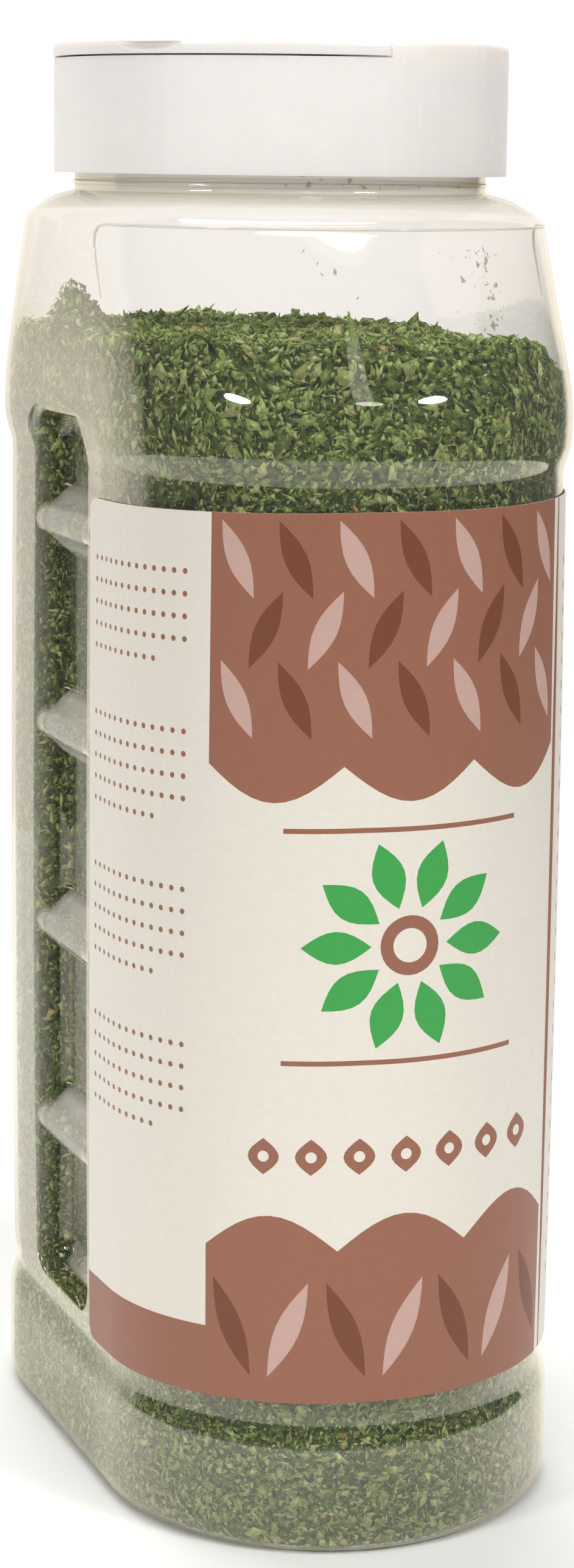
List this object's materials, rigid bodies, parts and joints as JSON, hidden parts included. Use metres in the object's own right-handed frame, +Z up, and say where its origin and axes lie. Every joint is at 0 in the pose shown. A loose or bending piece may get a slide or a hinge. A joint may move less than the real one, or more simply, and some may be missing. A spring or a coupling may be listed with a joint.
{
  "type": "spice jar of dried parsley",
  "caption": "Clear plastic spice jar of dried parsley flakes, oval in plan with ribbed finger grips, a label round its front and a screw cap with a hinged pour flap.",
  "frame": {"origin": "centre of the jar's footprint, on the surface it stands on", "axes": "+Z up; -Y towards the side that carries the label; X across the jar's narrow width, with a finger grip on each side, and the pour flap towards -X and -Y"},
  "size_m": [0.0682, 0.1102, 0.2097],
  "materials": {
    "clear_plastic": "clear and glossy",
    "label_paper": "semi-gloss printed film",
    "dried_parsley": "dry matt leaf flakes",
    "cap_plastic": "satin moulded",
    "flap_plastic": "satin moulded"
  },
  "bodies": {
    "jar": {"jar": "clear_plastic", "parsley": "dried_parsley", "label": "label_paper", "cap": "cap_plastic"},
    "flap": {"flap": "flap_plastic"}
  },
  "joints": [
    {"name": "flap_hinge", "type": "hinge", "parent": "jar", "child": "flap", "pos_m": [-0.0133, -0.00907, 0.2092], "axis": [-0.5635, 0.8261, 0], "range_deg": [0, 110]}
  ]
}
